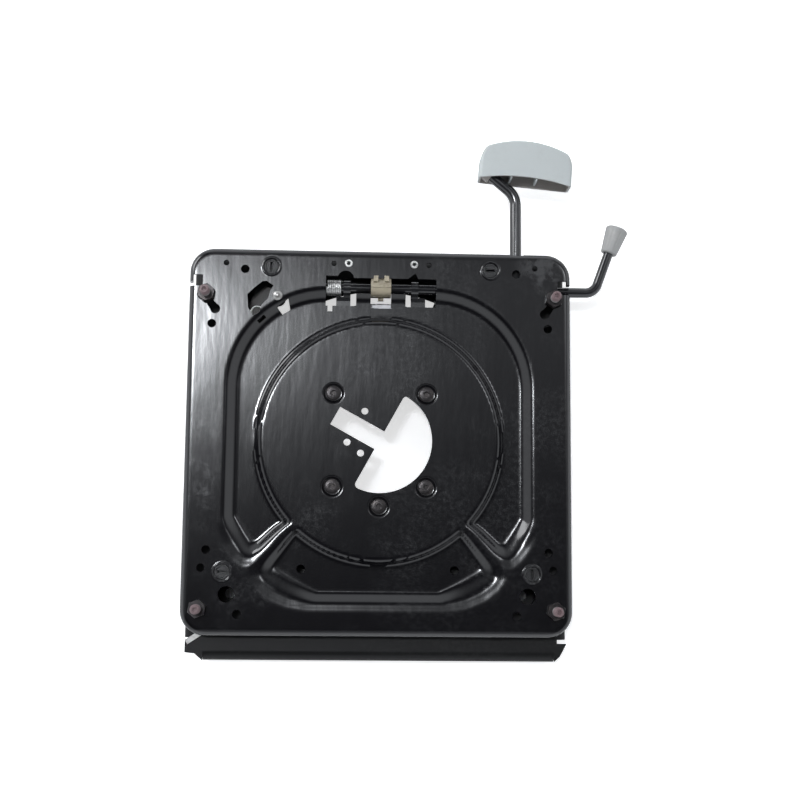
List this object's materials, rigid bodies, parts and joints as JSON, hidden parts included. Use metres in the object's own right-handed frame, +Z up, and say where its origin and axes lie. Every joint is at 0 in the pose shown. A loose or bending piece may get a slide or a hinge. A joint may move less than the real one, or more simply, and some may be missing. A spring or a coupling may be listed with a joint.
{
  "type": "swivel seat base",
  "caption": "Square pressed-steel swivel base that turns a vehicle seat on a ball bearing above a bolted floor frame, with a lever-released lock.",
  "frame": {"origin": "on the swivel axis, in the plane the four feet stand on", "axes": "+Z up along the swivel axis, +Y toward the release lever, +X toward the side lever"},
  "size_m": [0.4636, 0.5507, 0.072],
  "materials": {
    "black_paint": "satin black",
    "lever_black": "satin black",
    "zinc": "zinc plated",
    "bare_steel": "ground and oiled",
    "black_fastener": "black oxide",
    "nylon": "natural nylon",
    "paddle_plastic": "fine-grained grey plastic",
    "knob_plastic": "satin dark grey plastic"
  },
  "bodies": {
    "frame": {"base_frame": "black_paint", "lock_ring": "bare_steel", "ring_rivets": "zinc", "lower_race": "bare_steel", "corner_clip": "zinc", "clip_rivet": "zinc"},
    "cage": {"ball_cage": "nylon", "bearing_balls": "bare_steel"},
    "turntable": {"upper_race": "bare_steel", "hub_ring": "bare_steel", "slide_washer": "nylon", "retaining_ring": "bare_steel", "hub_screws": "black_fastener", "hub_nuts": "zinc", "upper_plate": "black_paint", "seat_studs": "zinc", "seat_nuts": "black_fastener", "glide_pads": "nylon", "cable_eyelets": "zinc", "shaft_bracket_left": "black_paint", "shaft_bracket_middle": "black_paint", "shaft_bracket_right": "black_paint", "shaft_clip": "nylon", "detent_rivet": "zinc"},
    "lever": {"release_shaft": "lever_black", "shaft_end_clip": "zinc", "lock_finger_left": "lever_black", "lock_finger_right": "lever_black", "lock_spring": "zinc", "paddle_tube": "lever_black", "paddle_handle": "paddle_plastic", "lever_knob": "knob_plastic"},
    "pawl": {"detent_pawl": "lever_black", "detent_spring": "zinc"}
  },
  "joints": [
    {"name": "swivel", "type": "hinge", "parent": "frame", "child": "turntable", "pos_m": [0, 0, 0.0385], "axis": [0, 0, 1], "range_deg": [-180, 180]},
    {"name": "cage_roll", "type": "hinge", "parent": "frame", "child": "cage", "pos_m": [0, 0, 0.0385], "axis": [0, 0, 1], "range_deg": [-90, 90]},
    {"name": "release", "type": "hinge", "parent": "turntable", "child": "lever", "pos_m": [0, 0.162, 0.0355], "axis": [1, 0, 0], "range_deg": [0, 7.5]},
    {"name": "detent", "type": "hinge", "parent": "turntable", "child": "pawl", "pos_m": [-0.1084, 0.1505, 0.03], "axis": [0, 0, 1], "range_deg": [0, 3.5]}
  ],
  "couplings": [
    {"joint": "cage_roll", "follows": "swivel", "ratio": 0.5}
  ]
}
